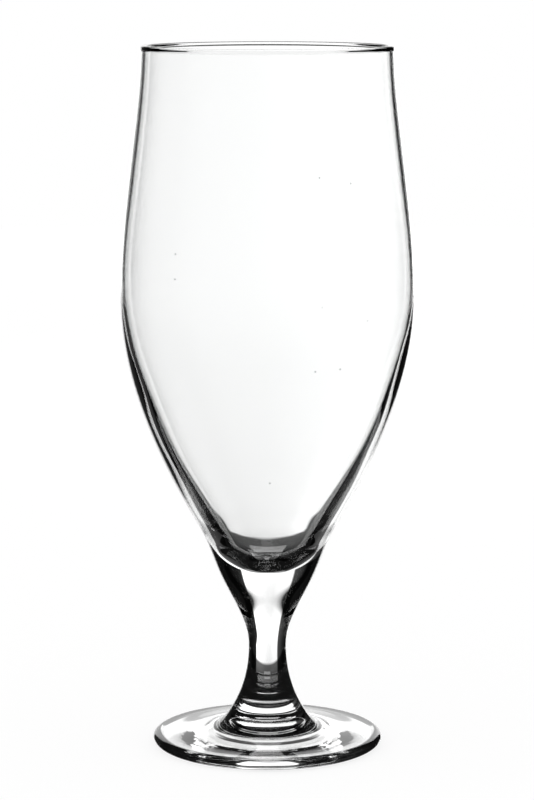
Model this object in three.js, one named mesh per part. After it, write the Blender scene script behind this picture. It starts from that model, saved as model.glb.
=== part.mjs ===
import * as THREE from 'three';

// Stemmed beer glass in clear pressed glass: a tulip bowl, a short solid stem and a round foot.
// Millimetres, +Z up. The origin is the middle of the plane that the foot rests on.
// Each piece is turned round the axis from its own outline of (radius, height) points.

// Whole glass
const glassHeight = 185;

// Foot
const footRadius = 30.4;
const footEdgeThickness = 3.3;
const footEdgeMiddle = 2.04;     // height at which the rounded edge is widest
const footEdgeTopRound = 1.77;   // how far in the edge's upper round reaches
const footEdgeUnderRound = 3.25; // how far in its lower round reaches
const restWidth = 3;             // flat ring that the glass stands on
const kickHeight = 1.31;         // hollow of the underside above the resting plane
const kickReach = 10;            // how far in from the rest ring the hollow stays low
const stepRadius = 12.23;        // outer of two shallow round steps that the press leaves underneath
const stepDepth = 0.42;
const stepRamp = 1.02;
const bandRise = 0.38;           // outward rise of the band between the steps
const markRadius = 7.7;          // inner step
const markDepth = 0.83;
const markRamp = 0.78;
const topEdgeLean = 0.65;        // degrees, rise of the top face from its edge
const topEdgeReach = 7.13;       // how far in the top face keeps that rise
const plateRadius = 15.35;       // where the top face begins to turn up into the stem
const plateHeight = 4.92;
const plateLean = 3.3;           // degrees, rise of the top face there
const plateReach = 4.84;         // how far out it keeps that rise
const filletStart = 1.18;        // pull of the hollow along the top face
const filletEnd = 0.85;          // pull of the hollow along the stem

// Outside of the stem and bowl: radius and lean in degrees at each station. The lower stations rise from
// the one below, the upper ones drop from the one above, and the bowl between them takes what is left.
const stemRootHeight = 7.31;
const stemRootRadius = 11.17;
const stemRootLean = -36.1;
const neckRise = 19.6;
const neckRadius = 4.96;
const cupBaseRise = 19.8;
const cupBaseRadius = 12.79;
const cupBaseLean = 23.3;
const flareRise = 12.9;
const flareRadius = 18.4;
const flareLean = 30.7;
const bellyRadius = 38.5;
const bellyDrop = 34.3;          // below the shoulder
const shoulderRadius = 35.9;
const shoulderLean = -6.6;
const shoulderDrop = 28.3;       // below the lip
const lipRadius = 33;
const lipLean = -2.4;
const lipDrop = 2.9;             // below the rim's top

// Wall, measured level from the outside to the cavity
const sumpRise = 9.55;           // above the cup base, where the cavity's round bottom begins
const wallAtSump = 5.32;
const wallAtLow = 4.1;           // half way from the sump to the middle
const wallAtMiddle = 3.1;        // half way from the flare to the belly
const wallAtBelly = 1.15;
const wallAtShoulder = 1.45;
const wallAtLip = 1.3;

// Cavity's bottom
const sumpDepth = 8.06;          // from the start of the round bottom down to its floor
const sumpTurn = 1.7;            // degrees by which the round bottom leans in more than the wall above
const sumpPull = 7.15;           // pull of the curve along the wall
const floorPull = 1.8;           // pull of the curve along the floor
const nubRise = 0.8;             // low nub in the middle of the floor
const nubSpread = 2;
const seamDrop = 1.4;            // glass between the cavity's floor and the stem's fused top

// Fire-polished rim: a quarter round outside, a smaller one inside, and a swelling into the cavity
const rimOuterRound = 0.4;
const rimInnerRound = 0.2;
const rimSwell = 0.5;
const rimSwellReach = 1.3;
const rimCrestShare = 0.56;      // place of the rim's top across its width, from the inside

// Fineness of the turned solids
const turnSteps = 64;
const wallSteps = 26;
const stemSteps = 16;
const roundSteps = 6;
const stepSteps = 3;
const slopeStep = 0.01;          // height over which a wall's slope is taken

const halfTurn = 180;
const slopeOf = (degrees) => Math.tan(THREE.MathUtils.degToRad(degrees));

const neckHeight = stemRootHeight + neckRise;
const cupBaseHeight = neckHeight + cupBaseRise;
const flareHeight = cupBaseHeight + flareRise;
const lipHeight = glassHeight - lipDrop;
const shoulderHeight = lipHeight - shoulderDrop;
const bellyHeight = shoulderHeight - bellyDrop;
const sumpHeight = cupBaseHeight + sumpRise;
const middleHeight = (flareHeight + bellyHeight) / 2;
const lowHeight = (sumpHeight + middleHeight) / 2;
const cavityFloorHeight = sumpHeight - sumpDepth;
const seamHeight = cavityFloorHeight - seamDrop;

const outsideStations = [
  { height: stemRootHeight, value: stemRootRadius, slope: slopeOf(stemRootLean) },
  { height: neckHeight, value: neckRadius, slope: 0 },
  { height: cupBaseHeight, value: cupBaseRadius, slope: slopeOf(cupBaseLean) },
  { height: flareHeight, value: flareRadius, slope: slopeOf(flareLean) },
  { height: bellyHeight, value: bellyRadius, slope: 0 },
  { height: shoulderHeight, value: shoulderRadius, slope: slopeOf(shoulderLean) },
  { height: lipHeight, value: lipRadius, slope: slopeOf(lipLean) },
];

const wallStations = withSlopes([
  { height: sumpHeight, value: wallAtSump },
  { height: lowHeight, value: wallAtLow },
  { height: middleHeight, value: wallAtMiddle },
  { height: bellyHeight, value: wallAtBelly },
  { height: shoulderHeight, value: wallAtShoulder },
  { height: lipHeight, value: wallAtLip },
]);

// Gives each station the slope of the line between its two neighbours.
function withSlopes(stations) {
  return stations.map((station, i) => {
    const below = stations[Math.max(i - 1, 0)];
    const above = stations[Math.min(i + 1, stations.length - 1)];
    return { ...station, slope: (above.value - below.value) / (above.height - below.height) };
  });
}

// Value at a height on the smooth curve through the stations.
function valueAt(stations, height) {
  let i = 1;
  while (i < stations.length - 1 && height > stations[i].height) i += 1;
  const a = stations[i - 1];
  const b = stations[i];
  const span = b.height - a.height;
  const t = (height - a.height) / span;
  const bend = t * t * (3 - 2 * t);
  const lead = t * (1 - t) * (1 - t) * a.slope;
  const trail = t * t * (t - 1) * b.slope;
  return a.value + (b.value - a.value) * bend + span * (lead + trail);
}

const outsideRadius = (height) => valueAt(outsideStations, height);
const cavityRadius = (height) => outsideRadius(height) - valueAt(wallStations, height);

// Points of one side of a wall, evenly spaced in height.
function wallPoints(radiusAt, from, to, steps) {
  return Array.from({ length: steps + 1 }, (_, i) => {
    const height = from + ((to - from) * i) / steps;
    return new THREE.Vector2(radiusAt(height), height);
  });
}

// Points of an elliptical arc in the outline's plane, angles in degrees.
function arcPoints(centre, radii, start, end, steps) {
  const clockwise = end < start;
  const toRadians = THREE.MathUtils.degToRad;
  const arc = new THREE.EllipseCurve(
    centre.x, centre.y, radii.x, radii.y, toRadians(start), toRadians(end), clockwise);
  return arc.getPoints(steps);
}

// Points of a curve from start to end that leaves and arrives along the lines to its two pulls.
function curvePoints(start, startPull, endPull, end, steps) {
  const curve = new THREE.CubicBezierCurve(start, startPull, endPull, end);
  return curve.getPoints(steps);
}

// Solid turned from an outline that starts and ends on the axis.
function turned(name, outline, material) {
  const geometry = new THREE.LatheGeometry(outline, turnSteps);
  geometry.rotateX(Math.PI / 2);
  const mesh = new THREE.Mesh(geometry, material);
  mesh.name = name;
  return mesh;
}

function clearGlass() {
  return new THREE.MeshStandardMaterial({
    color: 0xf2f6f5,
    roughness: 0.02,
    metalness: 0,
    transparent: true,
    opacity: 0.35,
  });
}

// Small step in the underside, from a radius and height to a larger radius and a lower height.
function stepPoints(inner, outer) {
  const middle = (inner.x + outer.x) / 2;
  return curvePoints(
    inner, new THREE.Vector2(middle, inner.y), new THREE.Vector2(middle, outer.y), outer, stepSteps);
}

function underside() {
  const restOuter = footRadius - footEdgeUnderRound;
  const restInner = restOuter - restWidth;
  const shelfHeight = kickHeight + stepDepth;
  const ceilingHeight = shelfHeight + markDepth;
  const mark = stepPoints(
    new THREE.Vector2(markRadius - markRamp, ceilingHeight),
    new THREE.Vector2(markRadius, shelfHeight));
  const step = stepPoints(
    new THREE.Vector2(stepRadius - stepRamp, shelfHeight + bandRise),
    new THREE.Vector2(stepRadius, kickHeight));
  const hollow = curvePoints(
    new THREE.Vector2(stepRadius, kickHeight),
    new THREE.Vector2(stepRadius + (restInner - stepRadius) / 3, kickHeight),
    new THREE.Vector2(restInner - kickReach, 0),
    new THREE.Vector2(restInner, 0),
    2 * roundSteps);
  const edge = arcPoints(
    new THREE.Vector2(restOuter, footEdgeMiddle),
    new THREE.Vector2(footEdgeUnderRound, footEdgeMiddle), -90, 0, roundSteps);
  return [new THREE.Vector2(0, ceilingHeight), ...mark, ...step, ...hollow.slice(1), ...edge];
}

function footTop() {
  const { degToRad } = THREE.MathUtils;
  const edgeRadius = footRadius - footEdgeTopRound;
  const edge = arcPoints(
    new THREE.Vector2(edgeRadius, footEdgeMiddle),
    new THREE.Vector2(footEdgeTopRound, footEdgeThickness - footEdgeMiddle), 0, 90, roundSteps);
  const plate = curvePoints(
    new THREE.Vector2(edgeRadius, footEdgeThickness),
    new THREE.Vector2(
      edgeRadius - topEdgeReach * Math.cos(degToRad(topEdgeLean)),
      footEdgeThickness + topEdgeReach * Math.sin(degToRad(topEdgeLean))),
    new THREE.Vector2(
      plateRadius + plateReach * Math.cos(degToRad(plateLean)),
      plateHeight - plateReach * Math.sin(degToRad(plateLean))),
    new THREE.Vector2(plateRadius, plateHeight),
    roundSteps);
  const fillet = curvePoints(
    new THREE.Vector2(plateRadius, plateHeight),
    new THREE.Vector2(
      plateRadius - filletStart * Math.cos(degToRad(plateLean)),
      plateHeight + filletStart * Math.sin(degToRad(plateLean))),
    new THREE.Vector2(
      stemRootRadius - filletEnd * Math.sin(degToRad(stemRootLean)),
      stemRootHeight - filletEnd * Math.cos(degToRad(stemRootLean))),
    new THREE.Vector2(stemRootRadius, stemRootHeight),
    roundSteps);
  return [...edge.slice(1), ...plate.slice(1), ...fillet.slice(1)];
}

function foot() {
  const outline = [...underside(), ...footTop(), new THREE.Vector2(0, stemRootHeight)];
  return turned('foot', outline, clearGlass());
}

function stem() {
  const outline = [
    new THREE.Vector2(0, stemRootHeight),
    ...wallPoints(outsideRadius, stemRootHeight, seamHeight, stemSteps),
    new THREE.Vector2(0, seamHeight),
  ];
  return turned('stem', outline, clearGlass());
}

// From the outside of the wall, over the rim and down to the wall's inside.
function rim() {
  const lipSlope = slopeOf(lipLean);
  const outerHeight = glassHeight - rimOuterRound;
  const innerHeight = glassHeight - rimInnerRound;
  const swellEnd = innerHeight - rimSwellReach;
  const outer = lipRadius + lipSlope * (outerHeight - lipHeight);
  const inner = lipRadius + lipSlope * (innerHeight - lipHeight) - wallAtLip - rimSwell;
  const crest = inner + rimCrestShare * (outer - inner);
  const wallInside = lipRadius + lipSlope * (swellEnd - lipHeight) - wallAtLip;
  const outerRound = arcPoints(
    new THREE.Vector2(crest, outerHeight),
    new THREE.Vector2(outer - crest, rimOuterRound), 0, 90, roundSteps);
  const innerRound = arcPoints(
    new THREE.Vector2(crest, innerHeight),
    new THREE.Vector2(crest - inner, rimInnerRound), 90, halfTurn, roundSteps);
  const swell = curvePoints(
    new THREE.Vector2(inner, innerHeight),
    new THREE.Vector2(inner, innerHeight - rimSwellReach / 2),
    new THREE.Vector2(wallInside, swellEnd + rimSwellReach / 2),
    new THREE.Vector2(wallInside, swellEnd),
    roundSteps);
  return [...outerRound, ...innerRound.slice(1), ...swell.slice(1)];
}

// From the cavity's wall down to the middle of its floor.
function cavityBottom() {
  const radius = cavityRadius(sumpHeight);
  const wallSlope = (cavityRadius(sumpHeight + slopeStep) - radius) / slopeStep;
  const lean = Math.atan(wallSlope) + THREE.MathUtils.degToRad(sumpTurn);
  const hollow = curvePoints(
    new THREE.Vector2(radius, sumpHeight),
    new THREE.Vector2(radius - sumpPull * Math.sin(lean), sumpHeight - sumpPull * Math.cos(lean)),
    new THREE.Vector2(floorPull, cavityFloorHeight),
    new THREE.Vector2(0, cavityFloorHeight),
    3 * roundSteps);
  return hollow.map(({ x, y }) => new THREE.Vector2(x, y + nubRise * Math.exp(-((x / nubSpread) ** 2))));
}

function bowl() {
  const outline = [
    new THREE.Vector2(0, seamHeight),
    ...wallPoints(outsideRadius, seamHeight, lipHeight, wallSteps),
    ...rim(),
    ...wallPoints(cavityRadius, lipHeight, sumpHeight, wallSteps),
    ...cavityBottom().slice(1),
  ];
  return turned('bowl', outline, clearGlass());
}

const beerGlass = new THREE.Group();
beerGlass.add(foot(), stem(), bowl());

export default beerGlass;
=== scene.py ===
import bpy
import math
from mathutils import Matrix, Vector


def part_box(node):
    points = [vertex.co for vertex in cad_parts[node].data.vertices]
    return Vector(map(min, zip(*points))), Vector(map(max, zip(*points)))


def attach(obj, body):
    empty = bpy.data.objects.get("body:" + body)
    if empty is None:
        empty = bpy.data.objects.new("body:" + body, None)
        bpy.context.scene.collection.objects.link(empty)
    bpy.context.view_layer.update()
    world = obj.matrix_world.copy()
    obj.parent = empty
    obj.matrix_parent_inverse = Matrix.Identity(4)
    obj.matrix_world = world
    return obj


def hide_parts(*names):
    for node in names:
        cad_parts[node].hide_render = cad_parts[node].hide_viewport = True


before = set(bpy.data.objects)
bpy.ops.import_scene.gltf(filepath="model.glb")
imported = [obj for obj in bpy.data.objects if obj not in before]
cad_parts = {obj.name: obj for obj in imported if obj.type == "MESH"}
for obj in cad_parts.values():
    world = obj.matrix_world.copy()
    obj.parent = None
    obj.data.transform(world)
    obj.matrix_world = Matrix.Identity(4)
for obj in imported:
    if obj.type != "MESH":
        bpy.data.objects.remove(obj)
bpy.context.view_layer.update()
scene = bpy.context.scene
mm = 0.001  # the dictionaries below are in millimetres and degrees, Blender is in metres

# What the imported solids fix: the two fused joints, the widest radii and the height of the rim.
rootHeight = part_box("foot")[1].z / mm
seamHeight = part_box("stem")[1].z / mm
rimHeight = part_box("bowl")[1].z / mm
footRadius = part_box("foot")[1].x / mm
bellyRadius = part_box("bowl")[1].x / mm

# Outside of the stem and bowl: (height, radius, lean from upright).
outside = {
    "root": (rootHeight, 11.17, -36.1),
    "neck": (26.9, 4.96, 0.0),
    "cupBase": (46.7, 12.79, 23.3),
    "flare": (59.6, 18.4, 30.7),
    "belly": (119.5, bellyRadius, 0.0),
    "shoulder": (153.8, 35.9, -6.6),
    "lip": (182.1, 33.0, -2.4),
}

# Wall from the outside in to the cavity, measured level: (height, thickness).
wall = {
    "sump": (56.25, 5.32),
    "low": (72.9, 4.1),
    "middle": (89.55, 3.1),
    "belly": (119.5, 1.15),
    "shoulder": (153.8, 1.45),
    "lip": (182.1, 1.3),
}


def slopeOf(degrees):
    return math.tan(math.radians(degrees))


def leaning(stations):
    return [(height, value, slopeOf(lean)) for height, value, lean in stations.values()]


def throughNeighbours(stations):
    # each station takes the slope of the line between its two neighbours
    rows = list(stations.values())
    sloped = []
    for i, (height, value) in enumerate(rows):
        below = rows[max(i - 1, 0)]
        above = rows[min(i + 1, len(rows) - 1)]
        sloped.append((height, value, (above[1] - below[1]) / (above[0] - below[0])))
    return sloped


def valueAt(stations, height):
    # smooth curve through stations of (height, value, slope)
    i = 1
    while i < len(stations) - 1 and height > stations[i][0]:
        i += 1
    lowHeight, lowValue, lowSlope = stations[i - 1]
    highHeight, highValue, highSlope = stations[i]
    span = highHeight - lowHeight
    t = (height - lowHeight) / span
    bend = t * t * (3 - 2 * t)
    lead = t * (1 - t) ** 2 * lowSlope
    trail = t * t * (t - 1) * highSlope
    return lowValue + (highValue - lowValue) * bend + span * (lead + trail)


outsideCurve = leaning(outside)
wallCurve = throughNeighbours(wall)


def outsideRadius(height):
    return valueAt(outsideCurve, height)


def cavityRadius(height):
    return outsideRadius(height) - valueAt(wallCurve, height)


def wallPoints(radiusAt, start, end, steps):
    heights = [start + (end - start) * i / steps for i in range(steps + 1)]
    return [(radiusAt(height), height) for height in heights]


def arcPoints(centre, radii, start, end, steps):
    points = []
    for i in range(steps + 1):
        angle = math.radians(start + (end - start) * i / steps)
        points.append((centre[0] + radii[0] * math.cos(angle), centre[1] + radii[1] * math.sin(angle)))
    return points


def bezierPoints(start, lead, trail, end, steps):
    points = []
    for i in range(steps + 1):
        t = i / steps
        weights = ((1 - t) ** 3, 3 * t * (1 - t) ** 2, 3 * t * t * (1 - t), t ** 3)
        knots = (start, lead, trail, end)
        points.append(tuple(sum(w * knot[axis] for w, knot in zip(weights, knots)) for axis in (0, 1)))
    return points


def fade(value, start, end):
    # 0 up to the start, 1 from the end on, smooth between them
    share = min(max((value - start) / (end - start), 0), 1)
    return share * share * (3 - 2 * share)


# Node helpers

def newMaterial(name):
    material = bpy.data.materials.new(name)
    material.use_nodes = True
    nodes = material.node_tree.nodes
    nodes.clear()
    output = nodes.new("ShaderNodeOutputMaterial")
    return material, nodes, material.node_tree.links, output


def feed(links, value, socket):
    # a socket takes a plain number as it is, and anything else by a link
    if isinstance(value, (int, float)):
        socket.default_value = value
    else:
        links.new(value, socket)


def maths(nodes, links, operation, first, second=0):
    node = nodes.new("ShaderNodeMath")
    node.operation = operation
    feed(links, first, node.inputs[0])
    feed(links, second, node.inputs[1])
    return node.outputs[0]


# Glass

clearGlassLook = {
    "tint": (0.986, 0.989, 0.988),
    "cloudTint": (0.976, 0.98, 0.978),   # where a faint cloud in the melt is thickest
    "clouds": 45.0,                      # in a metre
    "refraction": 1.52,
    "roughness": 0.0,
    "seeds": 70.0,                       # cells in a metre that may hold a seed, a tiny bubble of the melt
    "seedSize": 0.018,                   # as a share of a cell
    "seedTint": (0.35, 0.36, 0.36),
    "ripples": 160.0,                    # fine unevenness that the mould leaves, in a metre
    "rippleHeight": 0.006,
    "rippleStrength": 0.5,
}


def clearGlass():
    look = clearGlassLook
    material, nodes, links, output = newMaterial("clearGlass")
    place = nodes.new("ShaderNodeTexCoord").outputs["Object"]

    def mixedTint(share, first, second):
        tint = nodes.new("ShaderNodeMixRGB")
        links.new(share, tint.inputs["Fac"])
        for value, socket in ((first, tint.inputs["Color1"]), (second, tint.inputs["Color2"])):
            if isinstance(value, tuple):
                socket.default_value = (*value, 1)
            else:
                links.new(value, socket)
        return tint.outputs["Color"]

    clouds = nodes.new("ShaderNodeTexNoise")
    clouds.inputs["Scale"].default_value = look["clouds"]
    links.new(place, clouds.inputs["Vector"])
    seeds = nodes.new("ShaderNodeTexVoronoi")
    seeds.inputs["Scale"].default_value = look["seeds"]
    links.new(place, seeds.inputs["Vector"])
    isSeed = maths(nodes, links, "LESS_THAN", seeds.outputs["Distance"], look["seedSize"])
    melt = mixedTint(clouds.outputs["Fac"], look["tint"], look["cloudTint"])

    ripples = nodes.new("ShaderNodeTexNoise")
    ripples.inputs["Scale"].default_value = look["ripples"]
    links.new(place, ripples.inputs["Vector"])
    bump = nodes.new("ShaderNodeBump")
    bump.inputs["Strength"].default_value = look["rippleStrength"]
    bump.inputs["Distance"].default_value = look["rippleHeight"] * mm
    links.new(ripples.outputs["Fac"], bump.inputs["Height"])

    shader = nodes.new("ShaderNodeBsdfPrincipled")
    links.new(mixedTint(isSeed, melt, look["seedTint"]), shader.inputs["Base Color"])
    links.new(bump.outputs["Normal"], shader.inputs["Normal"])
    shader.inputs["Transmission Weight"].default_value = 1
    shader.inputs["IOR"].default_value = look["refraction"]
    shader.inputs["Roughness"].default_value = look["roughness"]
    links.new(shader.outputs["BSDF"], output.inputs["Surface"])
    return material


def fusedJoint():
    # the melted faces inside the glass, which no light is bent or reflected by
    material, nodes, links, output = newMaterial("fusedJoint")
    shader = nodes.new("ShaderNodeBsdfTransparent")
    links.new(shader.outputs["BSDF"], output.inputs["Surface"])
    return material


# Turning: a node tree sweeps the outline's points round the axis and adds the waviness of pressed glass.
# Each point of the outline says by its "wave" attribute how much of that waviness it takes.

turning = {
    "turnSteps": 256,
    "weldDistance": 0.002,
    "edgeAngle": 40,       # sharper corners than this stay crisp, as at the flat joint faces
}


def turningTree():
    tree = bpy.data.node_groups.new("turnOutline", "GeometryNodeTree")
    face = tree.interface
    face.new_socket("Geometry", in_out="INPUT", socket_type="NodeSocketGeometry")
    for name, kind in (("Turn Steps", "Int"), ("Weld Distance", "Float"), ("Edge Angle", "Float"),
                       ("Lower Joint", "Float"), ("Upper Joint", "Float"), ("Wave Depth", "Float"),
                       ("Waves Round", "Float"), ("Waves Out", "Float"), ("Waves Up", "Float"),
                       ("Seed", "Int"), ("Glass", "Material"), ("Joint", "Material")):
        face.new_socket(name, in_out="INPUT", socket_type="NodeSocket" + kind)
    face.new_socket("Geometry", in_out="OUTPUT", socket_type="NodeSocketGeometry")
    nodes, links = tree.nodes, tree.links
    given = nodes.new("NodeGroupInput").outputs
    result = nodes.new("NodeGroupOutput")

    def calc(operation, first, second=0):
        return maths(nodes, links, operation, first, second)

    # one row of the grid for each point of the outline, one column for each step of the turn; the index
    # is taken half a place on, so that a rounding fault can't bring it into the wrong row
    size = nodes.new("GeometryNodeAttributeDomainSize")
    links.new(given["Geometry"], size.inputs["Geometry"])
    columns = calc("ADD", given["Turn Steps"], 1)
    grid = nodes.new("GeometryNodeMeshGrid")
    links.new(size.outputs["Point Count"], grid.inputs["Vertices X"])
    links.new(columns, grid.inputs["Vertices Y"])
    index = nodes.new("GeometryNodeInputIndex").outputs[0]
    middle = calc("ADD", index, 0.5)
    row = calc("FLOOR", calc("DIVIDE", middle, columns))
    column = calc("FLOOR", calc("MODULO", middle, columns))
    turn = calc("MULTIPLY", calc("DIVIDE", column, given["Turn Steps"]), 2 * math.pi)

    place = nodes.new("GeometryNodeInputPosition").outputs[0]
    waveOfPoint = nodes.new("GeometryNodeInputNamedAttribute")
    waveOfPoint.inputs["Name"].default_value = "wave"

    def onOutline(kind, value):
        sample = nodes.new("GeometryNodeSampleIndex")
        sample.data_type = kind
        links.new(given["Geometry"], sample.inputs["Geometry"])
        links.new(value, sample.inputs["Value"])
        links.new(row, sample.inputs["Index"])
        return sample.outputs["Value"]

    def parts(vector):
        split = nodes.new("ShaderNodeSeparateXYZ")
        links.new(vector, split.inputs[0])
        return split.outputs

    def vector(x, y, z):
        joined = nodes.new("ShaderNodeCombineXYZ")
        for value, socket in zip((x, y, z), joined.inputs):
            feed(links, value, socket)
        return joined.outputs[0]

    point = parts(onOutline("FLOAT_VECTOR", place))
    radius, height = point["X"], point["Z"]
    swept = vector(calc("MULTIPLY", radius, calc("COSINE", turn)),
                   calc("MULTIPLY", radius, calc("SINE", turn)), height)
    moved = nodes.new("GeometryNodeSetPosition")
    links.new(grid.outputs["Mesh"], moved.inputs["Geometry"])
    links.new(swept, moved.inputs["Position"])
    carried = nodes.new("GeometryNodeStoreNamedAttribute")
    carried.data_type = "FLOAT"
    carried.domain = "POINT"
    carried.inputs["Name"].default_value = "wave"
    links.new(moved.outputs["Geometry"], carried.inputs["Geometry"])
    links.new(onOutline("FLOAT", waveOfPoint.outputs["Attribute"]), carried.inputs["Value"])

    welded = nodes.new("GeometryNodeMergeByDistance")
    links.new(carried.outputs["Geometry"], welded.inputs["Geometry"])
    links.new(given["Weld Distance"], welded.inputs["Distance"])
    flipped = nodes.new("GeometryNodeFlipFaces")
    links.new(welded.outputs["Geometry"], flipped.inputs["Mesh"])

    # the waviness is noise round the axis, outwards and upwards, along each point's normal
    here = parts(place)
    out = calc("SQRT", calc("ADD", calc("MULTIPLY", here["X"], here["X"]),
                            calc("MULTIPLY", here["Y"], here["Y"])))
    safeOut = calc("MAXIMUM", out, given["Weld Distance"])
    noise = nodes.new("ShaderNodeTexNoise")
    noise.noise_dimensions = "4D"
    noise.inputs["Scale"].default_value = 1
    noise.inputs["Detail"].default_value = 1
    links.new(vector(calc("MULTIPLY", calc("DIVIDE", here["X"], safeOut), given["Waves Round"]),
                     calc("MULTIPLY", calc("DIVIDE", here["Y"], safeOut), given["Waves Round"]),
                     calc("MULTIPLY", here["Z"], given["Waves Up"])), noise.inputs["Vector"])
    links.new(calc("ADD", calc("MULTIPLY", out, given["Waves Out"]), given["Seed"]), noise.inputs["W"])
    swing = calc("MULTIPLY", calc("SUBTRACT", noise.outputs["Fac"], 0.5), given["Wave Depth"])
    normal = nodes.new("GeometryNodeInputNormal").outputs[0]
    push = nodes.new("ShaderNodeVectorMath")
    push.operation = "SCALE"
    links.new(normal, push.inputs[0])
    links.new(calc("MULTIPLY", swing, waveOfPoint.outputs["Attribute"]), push.inputs["Scale"])
    waved = nodes.new("GeometryNodeSetPosition")
    links.new(flipped.outputs["Mesh"], waved.inputs["Geometry"])
    links.new(push.outputs[0], waved.inputs["Offset"])
    cleaned = nodes.new("GeometryNodeRemoveAttribute")
    cleaned.inputs["Name"].default_value = "wave"
    links.new(waved.outputs["Geometry"], cleaned.inputs["Geometry"])

    smooth = nodes.new("GeometryNodeSetShadeSmooth")
    links.new(cleaned.outputs["Geometry"], smooth.inputs["Geometry"])
    edge = nodes.new("GeometryNodeInputMeshEdgeAngle")
    marked = nodes.new("GeometryNodeStoreNamedAttribute")
    marked.data_type = "BOOLEAN"
    marked.domain = "EDGE"
    marked.inputs["Name"].default_value = "sharp_edge"
    links.new(smooth.outputs["Geometry"], marked.inputs["Geometry"])
    links.new(calc("GREATER_THAN", edge.outputs["Unsigned Angle"], given["Edge Angle"]),
              marked.inputs["Value"])

    onJoint = []
    for name in ("Lower Joint", "Upper Joint"):
        offset = calc("ABSOLUTE", calc("SUBTRACT", here["Z"], given[name]))
        onJoint.append(calc("LESS_THAN", offset, given["Weld Distance"]))
    realized = nodes.new("GeometryNodeRealizeInstances")
    links.new(marked.outputs["Geometry"], realized.inputs["Geometry"])
    glass = nodes.new("GeometryNodeSetMaterial")
    links.new(realized.outputs["Geometry"], glass.inputs["Geometry"])
    links.new(given["Glass"], glass.inputs["Material"])
    joint = nodes.new("GeometryNodeSetMaterial")
    links.new(glass.outputs["Geometry"], joint.inputs["Geometry"])
    links.new(given["Joint"], joint.inputs["Material"])
    links.new(calc("MAXIMUM", *onJoint), joint.inputs["Selection"])
    links.new(joint.outputs["Geometry"], result.inputs["Geometry"])
    return tree


def turned(name, outline, waveAt, waves, joints, tree, glass, joint):
    # outline: points of (radius, height) that start and end on the axis
    guide = bpy.data.meshes.new(name + "Outline")
    guide.from_pydata([(radius * mm, 0, height * mm) for radius, height in outline], [], [])
    wave = guide.attributes.new("wave", "FLOAT", "POINT")
    wave.data.foreach_set("value", [waveAt(radius, height) for radius, height in outline])
    source = bpy.data.objects.new(name + "Outline", guide)
    scene.collection.objects.link(source)
    modifier = source.modifiers.new("turn", "NODES")
    modifier.node_group = tree
    values = {
        "Turn Steps": turning["turnSteps"],
        "Weld Distance": turning["weldDistance"] * mm,
        "Edge Angle": math.radians(turning["edgeAngle"]),
        "Lower Joint": joints[0] * mm,
        "Upper Joint": joints[1] * mm,
        "Wave Depth": waves["depth"] * mm,
        "Waves Round": waves["round"],
        "Waves Out": waves["out"] / mm,
        "Waves Up": waves["up"] / mm,
        "Seed": waves["seed"],
        "Glass": glass,
        "Joint": joint,
    }
    for item in tree.interface.items_tree:
        if item.in_out == "INPUT" and item.name in values:
            modifier[item.identifier] = values[item.name]
    evaluated = source.evaluated_get(bpy.context.evaluated_depsgraph_get())
    mesh = bpy.data.meshes.new_from_object(evaluated)
    mesh.name = name
    piece = bpy.data.objects.new(name, mesh)
    scene.collection.objects.link(piece)
    bpy.data.objects.remove(source)
    bpy.data.meshes.remove(guide)
    return piece


noJoint = -100.0  # a height that no point of the glass has


# Foot

footShape = {
    "edgeThickness": 3.3,
    "edgeMiddle": 2.04,                 # height at which the rounded edge is widest
    "edgeTopRound": 1.77,
    "edgeUnderRound": 3.25,
    "edgeLean": 0.65,                   # rise of the top face from its edge, and how far in it keeps it
    "edgeReach": 7.13,
    "plate": (15.35, 4.92, 3.3),        # radius, height and lean where the top face turns up into the stem
    "plateReach": 4.84,
    "filletReach": (1.18, 0.85),
    "restWidth": 3.0,                   # flat ring that the glass stands on
    "kickHeight": 1.31,                 # hollow of the underside inside it
    "kickReach": 10.0,
    "step": (12.23, 0.42, 1.02),        # shallow round step underneath: radius, depth, width of its ramp
    "mark": (7.7, 0.83, 0.78),          # inner step, likewise
    "bandRise": 0.38,                   # outward rise of the band between the two
    "curveSteps": 44,
}
# "top": share that the top face takes; "edge": how far in from an edge the waviness grows to full
footWaves = {"depth": 0.06, "round": 0.15, "out": 1.3, "up": 0.0, "seed": 7, "top": 0.4, "edge": 4.0}


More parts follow.
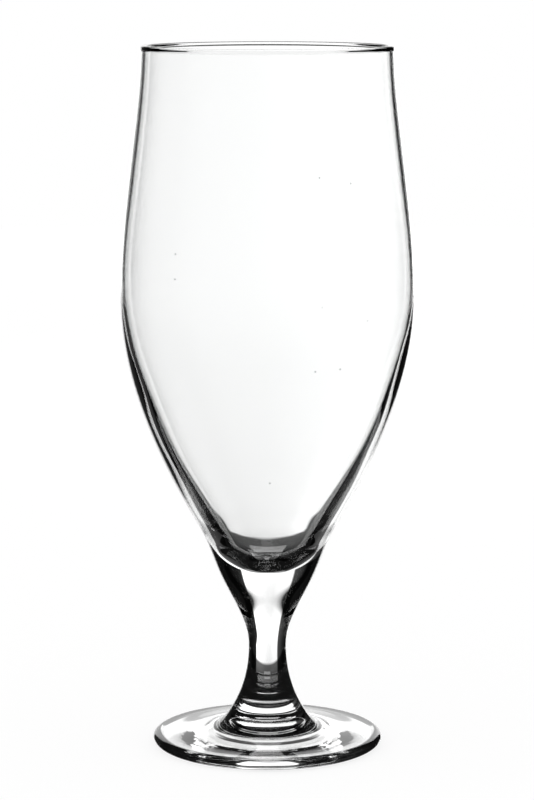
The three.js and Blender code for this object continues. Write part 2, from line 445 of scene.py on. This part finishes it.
def footOutline():
    shape = footShape
    steps = shape["curveSteps"]
    restOuter = footRadius - shape["edgeUnderRound"]
    restInner = restOuter - shape["restWidth"]
    topEdge = footRadius - shape["edgeTopRound"]
    kick = shape["kickHeight"]
    stepRadius, stepDepth, stepRamp = shape["step"]
    markRadius, markDepth, markRamp = shape["mark"]
    shelf = kick + stepDepth
    ceiling = shelf + markDepth

    def ramp(inner, outer):
        middle = (inner[0] + outer[0]) / 2
        return bezierPoints(inner, (middle, inner[1]), (middle, outer[1]), outer, steps // 3)

    def along(start, lean, reach):
        # a point that lies a reach outwards from the start, down a face of that lean
        angle = math.radians(lean)
        return start[0] + reach * math.cos(angle), start[1] - reach * math.sin(angle)

    mark = ramp((markRadius - markRamp, ceiling), (markRadius, shelf))
    step = ramp((stepRadius - stepRamp, shelf + shape["bandRise"]), (stepRadius, kick))
    hollow = bezierPoints((stepRadius, kick), (stepRadius + (restInner - stepRadius) / 3, kick),
                          (restInner - shape["kickReach"], 0), (restInner, 0), steps)
    under = arcPoints((restOuter, shape["edgeMiddle"]),
                      (shape["edgeUnderRound"], shape["edgeMiddle"]), -90, 0, steps // 2)
    upper = arcPoints((topEdge, shape["edgeMiddle"]),
                      (shape["edgeTopRound"], shape["edgeThickness"] - shape["edgeMiddle"]),
                      0, 90, steps // 2)
    plateRadius, plateHeight, plateLean = shape["plate"]
    lead, trail = shape["filletReach"]
    edge, foot, root = (topEdge, shape["edgeThickness"]), (plateRadius, plateHeight), outside["root"]
    plate = bezierPoints(edge, along(edge, shape["edgeLean"], -shape["edgeReach"]),
                         along(foot, plateLean, shape["plateReach"]), foot, steps)
    rootLean = math.radians(root[2])
    fillet = bezierPoints(foot, along(foot, plateLean, -lead),
                          (root[1] - trail * math.sin(rootLean), root[0] - trail * math.cos(rootLean)),
                          (root[1], root[0]), steps)
    return [(0, ceiling), *mark, *step, *hollow[1:], *under, *upper[1:], *plate[1:], *fillet[1:],
            (0, rootHeight)]


def footWave(radius, height):
    # the resting ring, the rounded edge, the joint and the middle inside the inner step stay true
    shape = footShape
    inside = footRadius - shape["edgeUnderRound"] - shape["restWidth"]
    if height < shape["edgeMiddle"] and radius > shape["mark"][0]:
        return fade(radius, inside, inside - footWaves["edge"])
    if height > shape["edgeThickness"] and radius > shape["plate"][0]:
        return footWaves["top"] * fade(radius, footRadius, footRadius - footWaves["edge"])
    return 0


# Stem

stemShape = {"steps": 90}
# "joint": how far from each joint the waviness grows to full
stemWaves = {"depth": 0.05, "round": 0.8, "out": 0.0, "up": 0.08, "seed": 3, "joint": 4.0}


def stemOutline():
    side = wallPoints(outsideRadius, rootHeight, seamHeight, stemShape["steps"])
    return [(0, rootHeight), *side, (0, seamHeight)]


def stemWave(radius, height):
    # the two joints stay true, so that the pieces meet
    reach = stemWaves["joint"]
    return fade(height, rootHeight, rootHeight + reach) * fade(height, seamHeight, seamHeight - reach)


# Bowl

bowlShape = {
    "rimOuterRound": 0.4,
    "rimInnerRound": 0.2,
    "rimSwell": 0.5,         # swelling of the rim into the cavity
    "rimSwellReach": 1.3,
    "rimCrest": 0.56,        # share of the rim's width, from the inside, at which it is highest
    "floorHeight": 48.2,
    "floorPull": 1.8,
    "floorNub": (2.0, 0.8),  # low nub that the plunger leaves in the middle: its spread and its rise
    "sumpPull": 7.15,
    "sumpTurn": 1.7,         # degrees that the round bottom leans in more than the wall above it
    "wallSteps": 150,
    "rimSteps": 12,
    "bottomSteps": 48,
    "slopeStep": 0.01,
}
# heights at which the waviness ends and is full, the radius within which it fades to the axis, and the
# least thickness at which a point counts as the cavity's
bowlWaves = {"depth": 0.3, "round": 0.9, "out": 0.0, "up": 0.035, "seed": 11,
             "top": 132.0, "full": 108.0, "middle": 8.0, "skin": 0.5}


def bowlOutline():
    shape = bowlShape
    lipHeight, lipRadius, lipLean = outside["lip"]
    sumpHeight = wall["sump"][0]
    wallAtLip = wall["lip"][1]
    slope = slopeOf(lipLean)
    outerHeight = rimHeight - shape["rimOuterRound"]
    innerHeight = rimHeight - shape["rimInnerRound"]
    reach = shape["rimSwellReach"]
    swellEnd = innerHeight - reach
    rimOuter = lipRadius + slope * (outerHeight - lipHeight)
    rimInner = lipRadius + slope * (innerHeight - lipHeight) - wallAtLip - shape["rimSwell"]
    crest = rimInner + shape["rimCrest"] * (rimOuter - rimInner)
    wallInner = lipRadius + slope * (swellEnd - lipHeight) - wallAtLip
    steps = shape["rimSteps"]
    rim = [
        *arcPoints((crest, outerHeight), (rimOuter - crest, shape["rimOuterRound"]), 0, 90, steps),
        *arcPoints((crest, innerHeight), (crest - rimInner, shape["rimInnerRound"]), 90, 180, steps)[1:],
        *bezierPoints((rimInner, innerHeight), (rimInner, innerHeight - reach / 2),
                      (wallInner, swellEnd + reach / 2), (wallInner, swellEnd), steps)[1:],
    ]
    # the round bottom leaves the wall along its lean and meets the axis level
    sumpRadius = cavityRadius(sumpHeight)
    wallSlope = (cavityRadius(sumpHeight + shape["slopeStep"]) - sumpRadius) / shape["slopeStep"]
    lean = math.atan(wallSlope) + math.radians(shape["sumpTurn"])
    bottom = bezierPoints((sumpRadius, sumpHeight),
                          (sumpRadius - shape["sumpPull"] * math.sin(lean),
                           sumpHeight - shape["sumpPull"] * math.cos(lean)),
                          (shape["floorPull"], shape["floorHeight"]), (0, shape["floorHeight"]),
                          shape["bottomSteps"])
    nubSpread, nubRise = shape["floorNub"]
    bottom = [(radius, height + nubRise * math.exp(-(radius / nubSpread) ** 2))
              for radius, height in bottom]
    return [
        (0, seamHeight),
        *wallPoints(outsideRadius, seamHeight, lipHeight, shape["wallSteps"]),
        *rim,
        *wallPoints(cavityRadius, lipHeight, sumpHeight, shape["wallSteps"]),
        *bottom[1:],
    ]


def bowlWave(radius, height):
    # only the cavity's lower part is wavy, where the plunger pressed the thick wall
    waves = bowlWaves
    outer = outsideRadius(min(height, outside["lip"][0]))
    if height < bowlShape["floorHeight"] or radius > outer - waves["skin"]:
        return 0
    return fade(height, waves["top"], waves["full"]) * fade(radius, 0, waves["middle"])


tree = turningTree()
glassMaterial = clearGlass()
jointMaterial = fusedJoint()
outlines = {
    "foot": (footOutline(), footWave, footWaves, (noJoint, rootHeight)),
    "stem": (stemOutline(), stemWave, stemWaves, (rootHeight, seamHeight)),
    "bowl": (bowlOutline(), bowlWave, bowlWaves, (seamHeight, noJoint)),
}
for node, (outline, waveAt, waves, joints) in outlines.items():
    piece = turned(node + "Glass", outline, waveAt, waves, joints, tree, glassMaterial, jointMaterial)
    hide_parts(node)
    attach(piece, "root")
    print("turned", piece.name, len(piece.data.polygons), "faces")


# Camera

cameraPlace = {
    "across": -0.13,
    "distance": 782.5,
    "height": 210.1,
    "pitch": 8.555,
    "lens": 135.56,
    "sensor": 36.0,
}


def addCamera():
    place = cameraPlace
    data = bpy.data.cameras.new("photoCamera")
    data.sensor_width = place["sensor"]
    data.lens = place["lens"]
    camera = bpy.data.objects.new("photoCamera", data)
    scene.collection.objects.link(camera)
    camera.location = (place["across"] * mm, -place["distance"] * mm, place["height"] * mm)
    camera.rotation_euler = (math.radians(90 - place["pitch"]), 0, 0)
    scene.camera = camera
    bpy.context.view_layer.update()
    return camera


camera = addCamera()
print("camera placed")


# Light: a soft lit panel stands behind the glass in a dark room. It is always opposite the camera, as if
# the glass turned on a turntable between the two. Glass shows its edges dark where it bends the view past
# the panel's sides.

panelLook = {
    "back": 600.0,
    "strength": 1.22,
    # (millimetres from the middle, brightness): the panel and the dimmer room round it
    "across": ((-1100, 0.006), (-640, 0.012), (-466, 0.024), (-357, 0.045), (-262, 0.07), (-244, 1.1),
               (-170, 1.12), (-110, 1.08), (-60, 0.97), (0, 1.0), (60, 1.1), (110, 1.35), (200, 1.65),
               (300, 1.65), (322, 0.03), (420, 0.012), (700, 0.006)),
    "upward": ((-600, 0.02), (-420, 0.035), (-300, 0.07), (-246, 0.09), (-222, 0.78), (-150, 0.86),
               (-60, 0.93), (0, 0.98), (40, 1.0), (170, 1.0), (284, 0.85), (318, 0.32), (336, 0.02),
               (500, 0.01)),
}
# right of "from" the panel narrows by "shrink", growing from nothing at the low height to all at the high
panelLean = {"from": 100.0, "low": -120.0, "high": 60.0, "shrink": 0.53}
topCardLook = {"height": 195.0, "near": -40.0, "far": 25.0, "side": 33.0, "strength": 1.0}
# a dim strip below the panel, which shows light in the middle of the bowl's bottom
lowCardLook = {"left": -60.0, "right": 75.0, "low": -600.0, "high": -308.0, "ahead": 1.0,
               "strength": 0.3}
roomLook = {"glimmer": 0.006}


def rampNode(nodes, links, source, stops):
    # brightness along a line, from (millimetres, brightness)
    first, last = stops[0][0], stops[-1][0]
    share = nodes.new("ShaderNodeMapRange")
    share.inputs["From Min"].default_value = first * mm
    share.inputs["From Max"].default_value = last * mm
    links.new(source, share.inputs["Value"])
    ramp = nodes.new("ShaderNodeValToRGB")
    links.new(share.outputs["Result"], ramp.inputs["Fac"])
    elements = ramp.color_ramp.elements
    while len(elements) < len(stops):
        elements.new(0.5)
    for element, (place, level) in zip(elements, stops):
        element.position = (place - first) / (last - first)
    for element, (place, level) in zip(elements, stops):
        element.color = (level, level, level, 1)
    return ramp.outputs["Color"]


def panelMaterial():
    material, nodes, links, output = newMaterial("panelGlow")
    place = nodes.new("ShaderNodeTexCoord")
    parts = nodes.new("ShaderNodeSeparateXYZ")
    links.new(place.outputs["Object"], parts.inputs[0])

    def calc(operation, first, second):
        return maths(nodes, links, operation, first, second)

    # the panel's right edge leans in from its lower part up, so beyond its upright part x counts for more
    rise = nodes.new("ShaderNodeMapRange")
    rise.inputs["From Min"].default_value = panelLean["low"] * mm
    rise.inputs["From Max"].default_value = panelLean["high"] * mm
    rise.inputs["To Max"].default_value = panelLean["shrink"]
    links.new(parts.outputs["Z"], rise.inputs["Value"])
    beyond = calc("MAXIMUM", calc("SUBTRACT", parts.outputs["X"], panelLean["from"] * mm), 0)
    x = calc("ADD", parts.outputs["X"], calc("MULTIPLY", beyond, rise.outputs["Result"]))
    across = rampNode(nodes, links, x, panelLook["across"])
    upward = rampNode(nodes, links, parts.outputs["Z"], panelLook["upward"])
    glow = nodes.new("ShaderNodeEmission")
    links.new(calc("MULTIPLY", calc("MULTIPLY", across, upward), panelLook["strength"]),
              glow.inputs["Strength"])
    links.new(glow.outputs["Emission"], output.inputs["Surface"])
    return material


def addTurntable(camera):
    # an empty in the middle of the glass takes the camera's rotation, and carries the panel and the cards
    turntable = bpy.data.objects.new("turntable", None)
    scene.collection.objects.link(turntable)
    turntable.location = (0, 0, rimHeight * mm / 2)
    follow = turntable.constraints.new("COPY_ROTATION")
    follow.target = camera
    bpy.context.view_layer.update()
    return turntable


def addStageSheet(name, corners, material, turntable):
    mesh = bpy.data.meshes.new(name)
    mesh.from_pydata([Vector(corner) * mm for corner in corners], [], [(0, 1, 2, 3)])
    mesh.materials.append(material)
    sheet = bpy.data.objects.new(name, mesh)
    scene.collection.objects.link(sheet)
    sheet.visible_camera = False
    sheet.parent = turntable
    sheet.matrix_parent_inverse = turntable.matrix_world.inverted()
    return sheet


def addPanel(turntable):
    left, right = panelLook["across"][0][0], panelLook["across"][-1][0]
    low, high = panelLook["upward"][0][0], panelLook["upward"][-1][0]
    back = panelLook["back"]
    addStageSheet("backPanel", [(left, back, low), (right, back, low), (right, back, high),
                                (left, back, high)], panelMaterial(), turntable)


def cardMaterial(name, strength):
    material, nodes, links, output = newMaterial(name)
    glow = nodes.new("ShaderNodeEmission")
    glow.inputs["Strength"].default_value = strength
    links.new(glow.outputs["Emission"], output.inputs["Surface"])
    return material


def addLowCard(turntable):
    card = lowCardLook
    left, right, low, high = card["left"], card["right"], card["low"], card["high"]
    back = panelLook["back"] - card["ahead"]
    addStageSheet("lowCard", [(left, back, low), (right, back, low), (right, back, high),
                              (left, back, high)],
                  cardMaterial("lowCardGlow", card["strength"]), turntable)


def addTopCard(turntable):
    # lies over the opening, so that the front of the rim shows its lines light
    card = topCardLook
    side, near, far, height = card["side"], card["near"], card["far"], card["height"]
    sheet = addStageSheet("topCard", [(-side, near, height), (side, near, height), (side, far, height),
                                      (-side, far, height)],
                          cardMaterial("topCardGlow", card["strength"]), turntable)
    sheet.visible_diffuse = False
    sheet.visible_shadow = False


turntable = addTurntable(camera)
addPanel(turntable)
addLowCard(turntable)
addTopCard(turntable)
print("lights placed")


# Floor and world

floorLook = {
    "radius": 1500.0,
    "sides": 96,
    "gap": 0.05,           # below the foot
    "paint": 0.9,
    "glow": 0.8,           # share of the camera's white that doesn't depend on the shadow
    "brightness": 1.05,
}


# light crosses the glass's walls many times before it leaves
bounces = {"glass": 32, "reflected": 16, "clear": 16}


def seenThroughGlass(nodes, links):
    # 1 for a ray that comes off or through the glass
    path = nodes.new("ShaderNodeLightPath").outputs
    return maths(nodes, links, "MAXIMUM", path["Is Glossy Ray"], path["Is Transmission Ray"])


def floorMaterial():
    look = floorLook
    material, nodes, links, output = newMaterial("paleFloor")
    paint = nodes.new("ShaderNodeBsdfDiffuse")
    paint.inputs["Color"].default_value = (look["paint"],) * 3 + (1,)
    white = nodes.new("ShaderNodeEmission")
    white.inputs["Strength"].default_value = look["brightness"]
    floor = nodes.new("ShaderNodeMixShader")
    floor.inputs["Fac"].default_value = look["glow"]
    links.new(paint.outputs["BSDF"], floor.inputs[1])
    links.new(white.outputs["Emission"], floor.inputs[2])
    clear = nodes.new("ShaderNodeBsdfTransparent")
    shown = nodes.new("ShaderNodeMixShader")
    # seen from below, the floor is clear too, so that it doesn't hide the glass
    below = nodes.new("ShaderNodeNewGeometry").outputs["Backfacing"]
    links.new(maths(nodes, links, "MAXIMUM", seenThroughGlass(nodes, links), below), shown.inputs["Fac"])
    links.new(floor.outputs["Shader"], shown.inputs[1])
    links.new(clear.outputs["BSDF"], shown.inputs[2])
    links.new(shown.outputs["Shader"], output.inputs["Surface"])
    return material


def addFloor():
    radius, sides, gap = floorLook["radius"] * mm, floorLook["sides"], floorLook["gap"] * mm
    turns = [2 * math.pi * i / sides for i in range(sides)]
    mesh = bpy.data.meshes.new("floor")
    mesh.from_pydata([(radius * math.cos(turn), radius * math.sin(turn), -gap) for turn in turns], [],
                     [tuple(range(sides))])
    mesh.materials.append(floorMaterial())
    floor = bpy.data.objects.new("floor", mesh)
    scene.collection.objects.link(floor)


def addWorld():
    world = bpy.data.worlds.new("studio")
    world.use_nodes = True
    nodes, links = world.node_tree.nodes, world.node_tree.links
    nodes.clear()
    white = nodes.new("ShaderNodeBackground")
    dark = nodes.new("ShaderNodeBackground")
    dark.inputs["Strength"].default_value = roomLook["glimmer"]
    for sky in (white, dark):
        sky.inputs["Color"].default_value = (1, 1, 1, 1)
    mixed = nodes.new("ShaderNodeMixShader")
    links.new(seenThroughGlass(nodes, links), mixed.inputs["Fac"])
    links.new(white.outputs["Background"], mixed.inputs[1])
    links.new(dark.outputs["Background"], mixed.inputs[2])
    output = nodes.new("ShaderNodeOutputWorld")
    links.new(mixed.outputs["Shader"], output.inputs["Surface"])
    scene.world = world


addFloor()
addWorld()
scene.view_settings.view_transform = "Standard"
scene.cycles.max_bounces = bounces["glass"]
scene.cycles.transmission_bounces = bounces["glass"]
scene.cycles.glossy_bounces = bounces["reflected"]
scene.cycles.transparent_max_bounces = bounces["clear"]
print("floor and world ready")
